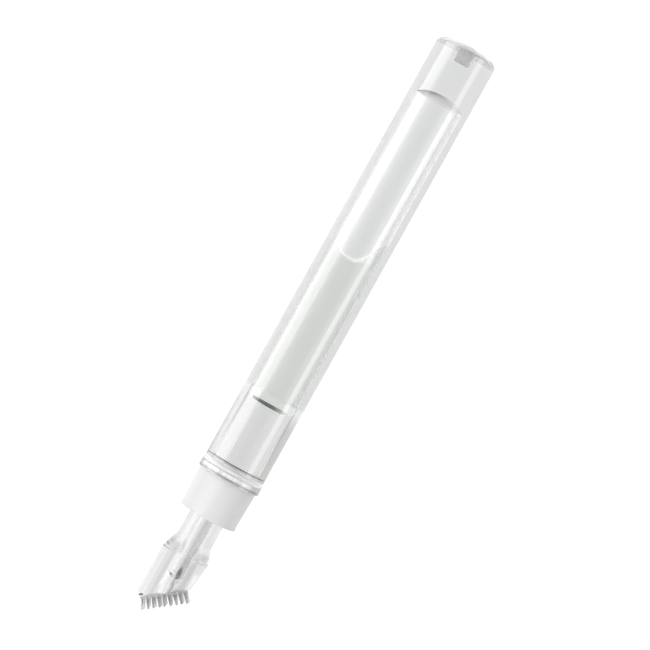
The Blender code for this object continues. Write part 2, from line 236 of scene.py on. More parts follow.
# %% A finish and its one node-making method
class Finish:
    """A material being mixed."""

    def __init__(self, name, **even):
        self.material = bpy.data.materials.new(name)
        self.material.use_nodes = True
        self.tree = self.material.node_tree
        self.shader = self.tree.nodes["Principled BSDF"]
        for socket, value in even.items():
            self.shader.inputs[socket.replace("_", " ")].default_value = value

    def node(self, kind, settings=None, sockets=None, output=0):
        """Add a node: its settings first, then its sockets' values or links. Gives back an output."""
        node = self.tree.nodes.new(kind)
        for name, value in (settings or {}).items():
            setattr(node, name, value)
        for name, value in (sockets or {}).items():
            self.join(value, node.inputs[name])
        return Value(self, node.outputs[output])

    def join(self, value, socket):
        """Link a Value to a socket, or set the socket to an even number or colour."""
        if isinstance(value, Value):
            self.tree.links.new(value.socket, socket)
        else:
            socket.default_value = value

    def place(self, stretch=(1, 1, 1)):
        """The point on the piece in metres, stretched so that marks run longer one way."""
        spot = self.node("ShaderNodeTexCoord", output="Object")
        return self.node("ShaderNodeMapping", None, {"Vector": spot, "Scale": stretch})

    def cloud(self, size, detail=3.0, stretch=(1, 1, 1)):
        """Soft noise from 0 to 1 whose features are about size millimetres across."""
        sockets = {"Vector": self.place(stretch), "Scale": 1 / (size * MM), "Detail": detail}
        return self.node("ShaderNodeTexNoise", None, sockets, output="Fac")

    def spot(self, axis):
        """Where the point is, in millimetres: its station for X, how far off the axis for Y."""
        place = self.node("ShaderNodeTexCoord", output="Object")
        offset = DATUM / MM if axis == "X" else 0
        return self.node("ShaderNodeSeparateXYZ", None, {0: place}, output=axis) * (1 / MM) - offset

    def height(self):
        """How far the point is above the pen's axis, in millimetres."""
        return self.spot("Z") - AXIS_HEIGHT / MM

    def size_of(self, value):
        """The value without its sign."""
        return self.node("ShaderNodeMath", {"operation": "ABSOLUTE"}, {0: value})

    def within(self, value, low, high, soft):
        """1 between low and high, fading to 0 over soft on either side."""
        return self.pick(value, low - soft, low + soft) - self.pick(value, high - soft, high + soft)

    def pick(self, value, low, high):
        """0 below low, 1 above high."""
        sockets = {"Value": value, "From Min": low, "From Max": high}
        return self.node("ShaderNodeMapRange", {"interpolation_type": "SMOOTHSTEP"}, sockets)

    def blend(self, share, one, other):
        """Mix two colours, given as numbers or as an earlier mix."""
        sockets = {0: share}
        for number, colour in ((6, one), (7, other)):
            sockets[number] = colour if isinstance(colour, Value) else (*colour, 1)
        return self.node("ShaderNodeMix", {"data_type": "RGBA"}, sockets, output=2)

    def banded(self, colour, bands):
        """Lay bands over a colour, each given as its share and its own colour."""
        for share, other in bands:
            colour = self.blend(share, colour, other)
        return colour

    def bump(self, height, depth, strength=1.0):
        """Fine relief, depth millimetres deep."""
        sockets = {"Height": height, "Distance": depth * MM, "Strength": strength}
        self.wear("Normal", self.node("ShaderNodeBump", None, sockets, output="Normal"))

    def wear(self, socket, value):
        """Drive one of the shader's own sockets."""
        self.join(value, self.shader.inputs[socket])


def grey(shade):
    """An even grey."""
    return (shade,) * 3


print("a finish can be clouded, banded and given relief")

# %% [markdown]
# ## Clear plastic
# The barrel is a thick acrylic moulding. Polished acrylic is smooth, but never perfect: it has faint
# flow marks along the pen, a bloom of handling on the surface and a few hairline scratches. These
# are too fine to model, so noise sets them: long soft noise for flow, small noise for handling.

# %% Mix a clear plastic
PLASTIC_INDEX = 1.5
HEAD_INDEX = 1.32  # softer than real plastic, which would turn the head's wings into mirrors
FLOW_RELIEF = 0.003
FLOW_STRETCH = (0.15, 1, 1)  # marks run longer along the pen
SCRATCH_STRETCH = (0.05, 1, 1)
HANDLED = (0.50, 0.75)  # the part of the noise where handling shows
SCRATCHED = (0.68, 0.74)


def clear_plastic(name, tint, haze, index, shading, clearness=1.0):
    """Polished plastic. Haze is its roughness where handled, shading adds bands of painted shade and painted
    light.
    """
    finish = Finish(name, IOR=index, Transmission_Weight=clearness)
    flow = finish.cloud(6.0, 2.0, FLOW_STRETCH)
    paler = tuple(min(1, part * 1.02) for part in tint)
    colour = finish.blend(flow, tint, paler)
    finish.wear("Base Color", finish.banded(colour, shading(finish)))
    handled = finish.pick(finish.cloud(2.4, 4.0), *HANDLED)
    scratched = finish.pick(finish.cloud(0.25, 2.0, SCRATCH_STRETCH), *SCRATCHED)
    finish.wear("Roughness", handled * haze + scratched * (2 * haze))
    if index >= HEAD_INDEX:
        finish.bump(flow, FLOW_RELIEF, 0.5)
    return finish.material


print(f"clear plastics bend light by {HEAD_INDEX} to {PLASTIC_INDEX}")

# %% [markdown]
# ## Painted shade of the barrel
# A thick clear wall looks darker where it turns away from the light. Here that shading is painted as
# faint bands fixed to the piece. They imitate the look and aren't a property of acrylic: painted shade
# a little darker down the right and darker at both edges of the plug's stretch, painted light at the
# open mouth. The plug's rim wears the same bands and scatters a little, or it would go black from behind.

# %% Polished plastic of the barrel and the plug's rim
PLUG_TIP = 72.0  # station from which the plug fills the bore
BARREL_TINT = (0.775, 0.78, 0.78)
RIM_TINT = (0.88, 0.885, 0.88)
MOUTH_PAINTED_LIGHT = (0.93, 0.935, 0.93)
EDGE_SHADE = (0.30, 0.30, 0.29)
OPEN_MOUTH = (71.8, 72.4)  # a band fades in from the first place to the second, in millimetres
PLUG_STRETCH = (PLUG_TIP, 77.0)
RIGHT_BAND = (3.4, 4.4)
RIGHT_EDGE = (3.9, 4.9)
LEFT_EDGE = (5.3, 5.8)
RIGHT_SHADE_STRENGTH = 0.1
SIDE_SHADE_STRENGTH = 0.8
LINE_SHADE_STRENGTH = 0.85


def barrel_painted_shade(finish):
    """Painted light at the mouth, painted shade at the edges of the plug's stretch and a little down the
    right.
    """
    right, low = finish.spot("Y"), finish.pick(finish.spot("X"), *PLUG_STRETCH)
    edge = finish.pick(right, *RIGHT_EDGE) * low * SIDE_SHADE_STRENGTH
    left_line = finish.pick(0 - right, *LEFT_EDGE) * low * LINE_SHADE_STRENGTH
    open_mouth = finish.pick(finish.spot("X"), *OPEN_MOUTH)
    bands = [(open_mouth, MOUTH_PAINTED_LIGHT)]
    bands.append((finish.pick(right, *RIGHT_BAND) * RIGHT_SHADE_STRENGTH, grey(0.4)))
    bands.append((edge + left_line, EDGE_SHADE))
    return bands


polished = clear_plastic("polished_barrel_plastic", BARREL_TINT, 0.004, PLASTIC_INDEX, barrel_painted_shade)
plug_clear = clear_plastic("clear_plug_plastic", RIM_TINT, 0.03, PLASTIC_INDEX, barrel_painted_shade, 0.75)
print("polished plastics:", polished.name, plug_clear.name)

# %% [markdown]
# ## Surfaces that lie in fluid
# Plastic that lies against plastic with fluid between hardly bends light, so these skins have a very
# low index. With a higher one the plug would show a bright outline inside the barrel. Its shaft
# keeps a little more, because it would vanish when the nozzle is pulled out.

# %% Soaked plastic of the seat, the hidden faces and the shaft
SOAKED_INDEX = 1.02
SHAFT_INDEX = 1.12
SOAKED_TINT = (0.996, 0.998, 0.996)
SHAFT_TINT = (0.91, 0.915, 0.91)
INNER_SHADE = (0.45, 0.46, 0.45)
INNER_BAND = (2.2, 2.8)
INNER_SHADE_STRENGTH = 0.22
SOAKED_SHADE_STRENGTH = 0.06  # less than inside the bore, because light crosses several of these faces


def inner_shade(finish, density):
    """Painted shade: inside surfaces are a little darker on the right, where they turn away from the light.
    """
    return [(finish.pick(finish.spot("Y"), *INNER_BAND) * density, INNER_SHADE)]


def soaked_shade(finish):
    """The same painted shade on soaked faces, but fainter."""
    return inner_shade(finish, SOAKED_SHADE_STRENGTH)


plug_soaked = clear_plastic("soaked_plug_plastic", SOAKED_TINT, 0.0, SOAKED_INDEX, soaked_shade)
plug_shaft = clear_plastic("wet_plug_shaft", SHAFT_TINT, 0.01, SHAFT_INDEX, soaked_shade)
print("soaked plastics:", plug_soaked.name, plug_shaft.name)

# %% [markdown]
# ## Painted light and shade of the head
# The head is a clear moulding too, with a softer polish. Its neck and paddle carry painted light and
# shade: a light flank, a darker core and a grey shoulder under the flare, a shaded band and a lit band
# on the left wing and a lit band on the right. Like the barrel's, these bands are fixed to the piece
# and imitate the look.

# %% Clear plastic of the head
HEAD_TINT = (0.70, 0.705, 0.705)
PADDLE_START = (104.8, 105.8)
CORE_LEFT = (0.0, 0.5)
CORE_RIGHT = (1.2, 1.6)
CORE_WIDENING = 1.25  # how much farther right the core reaches in the paddle
NECK_CORE_SHADE = 0.05
PADDLE_CORE_SHADE = 0.28
FLANK = (-1.35, -0.55)
WING_SHADE_SPAN = (-2.6, -1.9)
WING_LIGHT_SPAN = (-3.9, -3.3)
LIGHT_STRIP = (3.0, 3.6)
LIGHT_STRIP_START = (107.2, 107.8)
FLANK_LIGHT = 0.45
SHOULDER = (103.4, 105.3)
SHOULDER_SIDES = (1.3, 2.3)
SHOULDER_SHADE_STRENGTH = 0.65
WING_SHADE_AND_LIGHT = 0.3


def head_painted_light_and_shade(finish):
    """Painted light and shade of the head: a light flank, a dark core, a grey shoulder and lit and shaded
    bands on the wings.
    """
    right, along = finish.spot("Y"), finish.spot("X")
    low = finish.pick(along, *PADDLE_START)
    core = finish.pick(right, *CORE_LEFT) * (1 - finish.pick(right - low * CORE_WIDENING, *CORE_RIGHT))
    core = core * (low * PADDLE_CORE_SHADE + NECK_CORE_SHADE)
    flank = finish.within(right, *FLANK, 0.12) * FLANK_LIGHT
    aside = finish.size_of(right)
    shoulder = finish.within(along, *SHOULDER, 0.4) * finish.pick(aside, *SHOULDER_SIDES) * SHOULDER_SHADE_STRENGTH
    wing_shade = finish.within(right, *WING_SHADE_SPAN, 0.25) * low * WING_SHADE_AND_LIGHT
    wing_light = finish.within(right, *WING_LIGHT_SPAN, 0.2) * low * WING_SHADE_AND_LIGHT
    light_strip = finish.within(right, *LIGHT_STRIP, 0.15) * finish.pick(along, *LIGHT_STRIP_START) * FLANK_LIGHT
    return [(core, grey(0.25)), (shoulder + wing_shade, grey(0.4)), (flank + light_strip + wing_light, grey(1))]


head_clear = clear_plastic("clear_head_plastic", HEAD_TINT, 0.04, HEAD_INDEX, head_painted_light_and_shade)
print("head plastic:", head_clear.name)

# %% [markdown]
# ## Inside the bore
# Fluid has run over the whole bore and its film softens the bore's edge. With the full step from
# plastic to air the wall would turn into a hard mirror. A lower index for the bore's own skin keeps
# it as soft bands. The fluid's index is lower again, so that the slug shows only its tint and rim.

# %% Wetted wall and cleaning fluid
BORE_INDEX = 1.2
FLUID_INDEX = 1.09
BEAD_STRETCH = (0.1, 1, 1)
DRIFT_STRETCH = (0.3, 1, 1)


def wet_wall():
    """The bore's skin, with fine beads of fluid drawn out along the pen."""
    finish = Finish("wetted_bore_wall", IOR=BORE_INDEX, Transmission_Weight=1.0)
    beads = finish.cloud(1.6, 3.0, BEAD_STRETCH)
    colour = finish.blend(beads, (0.97, 0.975, 0.97), grey(1))
    # painted shade down the right side of the bore's skin
    finish.wear("Base Color", finish.banded(colour, inner_shade(finish, INNER_SHADE_STRENGTH)))
    finish.wear("Roughness", finish.pick(beads, 0.45, 0.8) * 0.002)
    return finish.material


def cleaning_liquid():
    """A clear liquid with a faint grey-green tint that drifts a little along the pen."""
    finish = Finish("tinted_cleaning_fluid", IOR=FLUID_INDEX, Transmission_Weight=1.0)
    drift = finish.cloud(5.0, 2.0, DRIFT_STRETCH)
    colour = finish.blend(drift, (0.935, 0.95, 0.925), (0.955, 0.965, 0.945))
    # painted shade down the right side of the fluid
    finish.wear("Base Color", finish.banded(colour, inner_shade(finish, INNER_SHADE_STRENGTH)))
    finish.wear("Roughness", drift * 0.01)
    return finish.material


bore_wall = wet_wall()
fluid = cleaning_liquid()
print("bore:", bore_wall.name, fluid.name)

# %% [markdown]
# ## Bright films
# Where fluid curves up a wall it is thin and gathers light. Rendered paths through curved clear walls
# lose that light, so the film has a faint painted glow in its place. The trough's film glows all over.
# In the cup only the corner glows, away from the middle.

# %% Films of the trough and the cup's corner
FILM_GLOW = 0.16
FILM_INDEX = 1.03
FILM_FADE = 0.4
CORNER_ASIDE = 2.3


def bright_film(name, least_aside):
    """Thin fluid with a painted glow where it is least_aside millimetres or more off the middle."""
    finish = Finish(name, IOR=FILM_INDEX, Transmission_Weight=1.0, Emission_Strength=FILM_GLOW)
    ripple = finish.cloud(1.0, 3.0)
    lit = finish.pick(finish.size_of(finish.spot("Y")), least_aside - FILM_FADE, least_aside)
    finish.wear("Base Color", finish.blend(ripple, (0.97, 0.98, 0.97), grey(1)))
    glow = finish.blend(ripple, (0.85, 0.87, 0.85), grey(1))
    finish.wear("Emission Color", finish.blend(lit, grey(0), glow))
    finish.wear("Roughness", ripple * 0.02)
    return finish.material


trough_film = bright_film("bright_trough_film", 0)
corner_film = bright_film("bright_corner_film", CORNER_ASIDE)
print("films:", trough_film.name, corner_film.name)

# %% [markdown]
# ## Marks at the back end
# The bore's domed end is darker in a streak either side of the horizontal mid-plane, stronger on the
# left. The back face was ground and scatters some light. The recess in it is a rough scar, left
# where the runner of plastic was torn off.

# %% Dark streak, back face and scar
DOME_STREAK_STRENGTH = 0.8
DOME_INDEX = 1.02
STREAK_HALF_HEIGHT = (1.2, 3.0)
STREAK_LEFTWARD = (-1.0, 1.6)
BACK_INDEX = 1.15


def dome_streak():
    """A dark streak either side of the horizontal mid-plane, fading towards the right."""
    finish = Finish("dark_dome_streak", IOR=DOME_INDEX, Transmission_Weight=1.0)
    grain = finish.cloud(0.6, 3.0)
    off_plane = finish.size_of(finish.height())
    leftward = 1 - finish.pick(finish.spot("Y"), *STREAK_LEFTWARD)
    dark_streak = (1 - finish.pick(off_plane, *STREAK_HALF_HEIGHT)) * leftward * DOME_STREAK_STRENGTH
    clean = finish.blend(grain, grey(0.80), grey(0.90))
    finish.wear("Base Color", finish.blend(dark_streak, clean, grey(0.2)))
    finish.wear("Roughness", grain * 0.1 + 0.05)
    return finish.material


def ground_back():
    """A fine even grind over the back face."""
    finish = Finish("ground_back_face", IOR=BACK_INDEX, Transmission_Weight=0.6)
    grain = finish.cloud(0.4, 3.0)
    finish.wear("Base Color", finish.blend(grain, grey(0.80), grey(0.88)))
    finish.wear("Roughness", grain * 0.15 + 0.08)
    return finish.material


def torn_scar():
    """Greyer and rougher than the face round it, with real relief."""
    finish = Finish("torn_sprue_scar", IOR=BACK_INDEX, Transmission_Weight=0.9)
    grain = finish.cloud(0.5, 4.0)
    finish.wear("Base Color", finish.blend(grain, grey(0.60), grey(0.80)))
    finish.wear("Roughness", grain * 0.3 + 0.15)
    finish.bump(grain, 0.02)
    return finish.material


dome_skin = dome_streak()
back_skin = ground_back()
scar = torn_scar()
print("back end:", dome_skin.name, back_skin.name, scar.name)

# %% [markdown]
# ## Feed channel and ledge
# The channel brings fluid to the nubs. Its wall has painted shade on the right and a darker ellipse,
# worked out on the piece, near its end. Between flare and paddle is a small step, painted as a fine
# dark line of shade on the left.

# %% Channel and ledge with painted shade
CHANNEL_SHADE_STRENGTH = 0.3
DARK_SPOT_STRENGTH = 0.8
DARK_SPOT_PLACE = (108.8, 0.45)  # station, and millimetres to the right
DARK_SPOT_HALF_SIZE = (1.4, 0.42)
LEDGE_INDEX = 1.05
LEDGE_LEFT = (1.6, 1.9)


def channel_wall():
    """Clear, with painted shade on the right and a darker ellipse near its end."""
    finish = Finish("feed_channel_painted_shade", IOR=BORE_INDEX, Transmission_Weight=1.0)
    right, along = finish.spot("Y"), finish.spot("X")
    film = finish.cloud(0.8, 2.0)
    right_shade = finish.pick(right, -0.2, 0.3) * CHANNEL_SHADE_STRENGTH
    colour = finish.blend(right_shade, finish.blend(film, grey(0.93), grey(1)), grey(0.3))
    off_middle = (right - DARK_SPOT_PLACE[1]) * (1 / DARK_SPOT_HALF_SIZE[1])
    off_centre = (along - DARK_SPOT_PLACE[0]) * (1 / DARK_SPOT_HALF_SIZE[0])
    dark_spot = 1 - finish.pick(off_middle * off_middle + off_centre * off_centre, 0.3, 1.1)
    finish.wear("Base Color", finish.blend(dark_spot * DARK_SPOT_STRENGTH, colour, grey(0.2)))
    finish.wear("Roughness", film * 0.03)
    return finish.material


def ledge_line():
    """The step's own face, with painted shade on the left only."""
    finish = Finish("ledge_line", IOR=LEDGE_INDEX, Transmission_Weight=1.0)
    grain = finish.cloud(0.5, 3.0)
    left = finish.pick(0 - finish.spot("Y"), *LEDGE_LEFT)
    clean = finish.blend(grain, grey(0.70), grey(0.85))
    finish.wear("Base Color", finish.blend(left, clean, grey(0.12)))
    finish.wear("Roughness", grain * 0.1)
    return finish.material


channel_skin = channel_wall()
ledge_skin = ledge_line()
print("head's inside:", channel_skin.name, ledge_skin.name)

# %% [markdown]
# ## Seam edges
# The gasket is pressed between two eased edges, which have painted shade at both flanks of the pen.
# They keep the full index of plastic, because a thin edge of low index traps light and shows as a bar.

# %% Edges with painted shade either side of the gasket
SEAM_SHADE_STRENGTH = 0.5
SEAM_FLANKS = (5.5, 6.1)


def seam_edge():
    """Painted shade: plain in the middle, darker towards both flanks."""
    finish = Finish("seam_edge", IOR=PLASTIC_INDEX, Transmission_Weight=0.5)
    grime = finish.cloud(0.7, 3.0)
    dark = finish.pick(finish.size_of(finish.spot("Y")), *SEAM_FLANKS) * SEAM_SHADE_STRENGTH
    clean = finish.blend(grime, (0.82, 0.82, 0.81), (0.90, 0.90, 0.89))
    finish.wear("Base Color", finish.blend(dark, clean, grey(0.08)))
    finish.wear("Roughness", grime * 0.2 + 0.05)
    return finish.material


seam = seam_edge()
print("seams:", seam.name)

# %% [markdown]
# ## Silicone
# The nubs and the gasket are clear silicone, a little milky, with a satin skin. One recipe serves
# both. The gasket is pressed wet between two clear faces, so it bends light less.

# %% Silicone of the nubs and the gasket
def milky_silicone(name, index, clearness, dull, bright):
    """Soft clear silicone, mottled between two greys."""
    finish = Finish(name, IOR=index, Transmission_Weight=clearness)
    mottle = finish.cloud(0.8, 3.0)
    finish.wear("Base Color", finish.blend(mottle, grey(dull), grey(bright)))
    finish.wear("Roughness", mottle * 0.12 + 0.08)
    finish.bump(finish.cloud(0.15, 2.0), 0.004)
    return finish.material


nub_silicone = milky_silicone("milky_nub_silicone", 1.41, 0.85, 0.70, 0.82)
clear_silicone = milky_silicone("clear_gasket_silicone", 1.2, 0.6, 0.84, 0.90)
print("silicones:", nub_silicone.name, clear_silicone.name)

# %% [markdown]
# ## Rubber
# The O-ring is dark rubber with a fine dry grain. The valve disc is the same rubber standing in
# fluid. Light that reaches it through the curved walls is lost in a render, so it glows faintly,
# more on the right.

# %% Dry and wet rubber
DISC_GLOW = 0.45
DISC_LIT = (0.2, 2.1)


def dry_rubber():
    """Matt rubber with a fine grain."""
    finish = Finish("dry_dark_rubber", IOR=1.5)
    grain = finish.cloud(0.12, 4.0)
    finish.wear("Base Color", finish.blend(grain, (0.045, 0.05, 0.048), (0.11, 0.115, 0.11)))
    finish.wear("Roughness", grain * 0.25 + 0.5)
    finish.bump(grain, 0.01)
    return finish.material


def valve_rubber():
    """The disc's rubber, faintly lit on the right."""
    finish = Finish("wet_valve_rubber", IOR=1.1, Roughness=0.6, Emission_Strength=DISC_GLOW)
    grain = finish.cloud(0.3, 3.0)
    finish.wear("Base Color", finish.blend(grain, (0.10, 0.105, 0.10), (0.18, 0.185, 0.18)))
    dim = finish.blend(grain, (0.10, 0.11, 0.10), (0.22, 0.24, 0.22))
    lit = finish.pick(finish.spot("Y"), *DISC_LIT)
    finish.wear("Emission Color", finish.blend(lit, dim, (0.95, 1.0, 0.95)))
    return finish.material


rubber = dry_rubber()
disc_rubber = valve_rubber()
print("rubbers:", rubber.name, disc_rubber.name)

# %% [markdown]
# ## Frosted plastic and wire
# The collar is frosted: it was moulded in a blasted tool, so light goes in, scatters and comes out
# even, with painted shade a little greyer at both flanks. The spring is drawn steel wire with fine streaks.

# %% Frosted collar and drawn wire
COLLAR_CLEAR = 0.35
COLLAR_FLANK_SHADE = 0.66
COLLAR_LEFT = (-4.6, -0.8)
COLLAR_RIGHT = (1.0, 5.0)


def frosted_plastic():
    """Even white with painted shade greyer towards the flanks, and a blasted skin."""
    finish = Finish("frosted_collar_plastic", IOR=1.45, Transmission_Weight=COLLAR_CLEAR)
    cloudy = finish.cloud(3.0, 3.0)
    even = finish.blend(cloudy, grey(0.91), grey(0.94))
    left = 1 - finish.pick(finish.spot("Y"), *COLLAR_LEFT)
    right = finish.pick(finish.spot("Y"), *COLLAR_RIGHT)
    finish.wear("Base Color", finish.blend(left + right, even, grey(COLLAR_FLANK_SHADE)))
    finish.wear("Roughness", cloudy * 0.1 + 0.55)
    finish.bump(finish.cloud(0.12, 3.0), 0.006)
    return finish.material


def drawn_wire():
    """Steel with fine streaks."""
    finish = Finish("drawn_spring_wire", Metallic=1.0)
    streak = finish.cloud(0.2, 3.0)
    finish.wear("Base Color", finish.blend(streak, (0.55, 0.56, 0.58), (0.74, 0.75, 0.77)))
    finish.wear("Roughness", streak * 0.2 + 0.22)
    finish.bump(streak, 0.003)
    return finish.material


frosted = frosted_plastic()
steel = drawn_wire()
print("collar and spring:", frosted.name, steel.name)

# %% [markdown]
# ## Putting a piece in the frame
# Each finished piece takes two facts from the frame: the body it moves with and the part it stands
# for. One short helper says both.

# %% Fit a piece to its body and part
def fit(piece, body, node):
    """Tell the frame which body the piece rides on, which part it replaces."""
    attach(piece, body)
    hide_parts(node)


# %% [markdown]
# ## The barrel
# It is a thick tube moulded in one with a solid back end. The bore's end is a shallow dome, because
# the core pin that formed it was domed. The back face has a softly rounded edge and a small recess
# where the plastic was fed in and torn off. One closed outline makes it all: recess, back edge,
# outside, mouth, then back up the bore. Each band of its skin wears its own finish.

# %% Turn the barrel
BORE_R = 3.15
BACK_FLAT_R = 3.8
BACK_EDGE_DEPTH = 1.2
GATE_R = 1.2
GATE_END = 2.7
DOME_APEX = 9.25
DOME_DEPTH = 1.6
DOME_STEPS = 20
DOME_UNSTREAKED_BANDS = 1  # bands at the dome's edge without the dark streak
MOUTH_EASE = 0.08
GATE_TIP_R = GATE_R * 0.7
GATE_ROUND = 0.3
GATE_EASE = 0.15

scar_part = [(GATE_END, 0), (GATE_END, GATE_TIP_R), (GATE_END - GATE_ROUND, GATE_R)]
scar_part += [(BACK_SET + GATE_EASE, GATE_R), (BACK_SET, GATE_R + GATE_EASE)]
back_edge = curve_between((BACK_SET, BACK_FLAT_R), (BACK_SET + BACK_EDGE_DEPTH, BARREL_R), "out", 14)
outside = back_edge + [(BARREL_END - MOUTH_EASE, BARREL_R), (BARREL_END, BARREL_R - MOUTH_EASE)]
seat = [(BARREL_END, BORE_R + MOUTH_EASE), (BARREL_END - MOUTH_EASE, BORE_R), (PLUG_TIP, BORE_R)]
bore_part = []
for i in range(DOME_STEPS):
    turn = math.pi / 2 * i / DOME_STEPS
    bore_part.append((DOME_APEX + DOME_DEPTH * (1 - math.sin(turn)), BORE_R * math.cos(turn)))
bore_part.append((DOME_APEX, 0))
outline = scar_part + outside + seat + bore_part
scar_bands = range(len(scar_part) - 1)
back_bands = range(len(scar_part) - 1, len(scar_part) + len(back_edge) - 1)
ease_band = len(scar_part) + len(outside) - 2
first_bore_band = len(scar_part) + len(outside) + len(seat) - 1
first_streak_band = first_bore_band + 1 + DOME_UNSTREAKED_BANDS


def barrel_finish(band):
    """0 polished, 1 bore wall, 2 scar, 3 soaked seat, 4 back face, 5 dark streak of the dome, 6 seam."""
    if band in scar_bands:
        return 2
    if band in back_bands:
        return 4
    if band == ease_band:
        return 6
    if band >= first_streak_band:
        return 5
    if band >= first_bore_band:
        return 1
    return 3 if band > ease_band else 0


barrel_finishes = (polished, bore_wall, scar, plug_soaked, back_skin, dome_skin, seam)
barrel = turned("barrel_shell", outline, finishes=barrel_finishes, finish_of=barrel_finish)
fit(barrel, "barrel_body", "barrel")

# %% [markdown]
# ## The fluid
# A slug of fluid hangs between a trough-shaped surface and the plug's cup. The trough runs up and
# down the bore, and the fluid climbs both side walls in a thin rim, higher on the left. Its skin
# is drawn a hair wider than the bore, so plastic and fluid meet with no film of air between them.

# %% Loft the fluid slug
WET = 0.02
TROUGH_DEPTH = 4.6
TROUGH_FLOOR = 43.7
RIM_TILT = 1.4
RIM_DROP = 0.6  # how much sooner the fluid starts on the top and bottom walls
RIGHT_DROP = 1.2  # how much sooner still on the +Y half of those walls
TROUGH_POWER = 2.6  # a higher power gives a flatter floor and steeper walls
TROUGH_STEPS = 24
CUP_STEPS = 12
CUP_FLOOR = 74.2
CUP_FLAT_R = 2.0


def trough_ring(share):
    """A ring of the trough at a share of the bore's radius, reaching farther back on the +Y side."""
    ring = ring_at(0, (BORE_R + WET) * share)
    for point in ring:
        side = point.y / ((BORE_R + WET) * MM)
        height = (point.z - AXIS_HEIGHT) / ((BORE_R + WET) * MM)
        climb = TROUGH_DEPTH * abs(side)**TROUGH_POWER + RIM_TILT * side * abs(side)
        climb += (RIM_DROP + RIGHT_DROP * max(0, side)) * height**2
        point.x = DATUM + (TROUGH_FLOOR - climb) * MM
    return ring


trough = [ring_at(TROUGH_FLOOR, 0)]
trough += [trough_ring((i + 1) / TROUGH_STEPS) for i in range(TROUGH_STEPS)]
cup_curve = curve_between((PLUG_TIP, BORE_R + WET), (CUP_FLOOR + WET, CUP_FLAT_R), "along", CUP_STEPS)
front = [ring_at(along, radius) for along, radius in cup_curve] + [ring_at(CUP_FLOOR + WET, 0)]


def slug_finish(band):
    """0 for the fluid's side, 1 for the film on the trough, 2 for the film in the cup's corner."""
    if band < len(trough) - 1:
        return 1
    return 2 if len(trough) <= band < len(trough) + len(cup_curve) - 1 else 0


slug = skin("fluid_slug", trough + front, False, (fluid, trough_film, corner_film), slug_finish)
fit(slug, "barrel_body", "cleaning_fluid")
print(f"fluid from {TROUGH_FLOOR - TROUGH_DEPTH:.1f} to {CUP_FLOOR:.1f} mm")

# %% [markdown]
# ## The front plug
# It is turned from the same clear plastic: a cup-ended shaft that fills the bore, a flange that
# shows as a clear ring, and a spigot and boss that the collar hides. The shaft is drawn a hair
# wider than its seat, as a press fit is, so no false gap shows between the two.

# %% Turn the plug and its gasket
PLUG_BORE_R = 1.4
FLANGE_START = 88.0
FLANGE_END = 89.4
SPIGOT_R = 4.3
SPIGOT_END = 91.0
BOSS_R = 2.7
BOSS_END = 92.8
POCKET_R = 2.2
POCKET_START = 91.6
LIP_EASE = 0.05
EDGE = 0.06
SEAM_GAP = 0.03  # faces that coincide would show as dark bars

cup = curve_between((PLUG_TIP, BORE_R), (CUP_FLOOR, CUP_FLAT_R), "along", CUP_STEPS)
plug_outline = [(CUP_FLOOR, PLUG_BORE_R)] + cup[::-1] + [(PLUG_TIP + LIP_EASE, BORE_R + WET)]
plug_outline += [(FLANGE_START, BORE_R + WET), (FLANGE_START, FLANGE_R - EDGE)]
plug_outline += [(FLANGE_START + EDGE, FLANGE_R), (FLANGE_END - EDGE, FLANGE_R)]
plug_outline += [(FLANGE_END, FLANGE_R - EDGE), (FLANGE_END, SPIGOT_R), (SPIGOT_END, SPIGOT_R)]
plug_outline += [(SPIGOT_END, BOSS_R), (BOSS_END, BOSS_R), (BOSS_END, POCKET_R)]
plug_outline += [(POCKET_START, POCKET_R), (POCKET_START, PLUG_BORE_R)]
rim_band = plug_outline.index((FLANGE_START + EDGE, FLANGE_R))


def plug_finish(band):
    """0 the polished rim of the flange, 1 hidden surfaces, 2 the rim's two edges, 3 cup and shaft."""
    if band == rim_band:
        return 0
    if len(cup) < band <= len(cup) + 1:
        return 3
    return 2 if abs(band - rim_band) == 1 else 1


plug_finishes = (plug_clear, plug_soaked, seam, plug_shaft)
plug = turned("plug_moulding", plug_outline, True, ROUND, plug_finishes, plug_finish)
fit(plug, "nozzle_body", "front_plug")

GASKET_R = 6.05
GASKET_HOLE_R = BORE_R + 0.1
gasket_start, gasket_end = BARREL_END + SEAM_GAP, FLANGE_START - SEAM_GAP
gasket_outline = [(gasket_start, GASKET_HOLE_R), (gasket_start, GASKET_R - EDGE)]
gasket_outline += [(gasket_start + EDGE, GASKET_R), (gasket_end - EDGE, GASKET_R)]
gasket_outline += [(gasket_end, GASKET_R - EDGE), (gasket_end, GASKET_HOLE_R)]


def gasket_finish(band):
    """0 the rim, 2 its edges, 1 the faces that are pressed against the barrel and the plug."""
    return {1: 2, 2: 0, 3: 2}.get(band, 1)


gasket_finishes = (clear_silicone, plug_soaked, seam)
gasket = turned("flat_gasket", gasket_outline, True, ROUND, gasket_finishes, gasket_finish)
fit(gasket, "nozzle_body", "flange_gasket")

# %% [markdown]
# ## Valve disc, feed stem and O-ring
# The disc is punched from dark rubber sheet, so its rim is square with a slight curl. The stem is a
# fine extruded tube with a notch across its top that lets fluid in under the lifted disc. The
# O-ring is a torus, turned from a small circle. All three are small, so a few dozen sides do.

# %% Turn the disc, the stem and the O-ring
FINE = 64
DISC_R = 2.17
DISC_START = 73.7
DISC_END = 74.15
DISC_DIP = 0.1  # how far the middle of its fluid side lies back
DISC_DIP_R = 1.4
DISC_CURL_R = 1.8
DISC_BEVEL = 0.3
DISC_BEVEL_R = 2.1
DISC_SEAT_R = 1.6

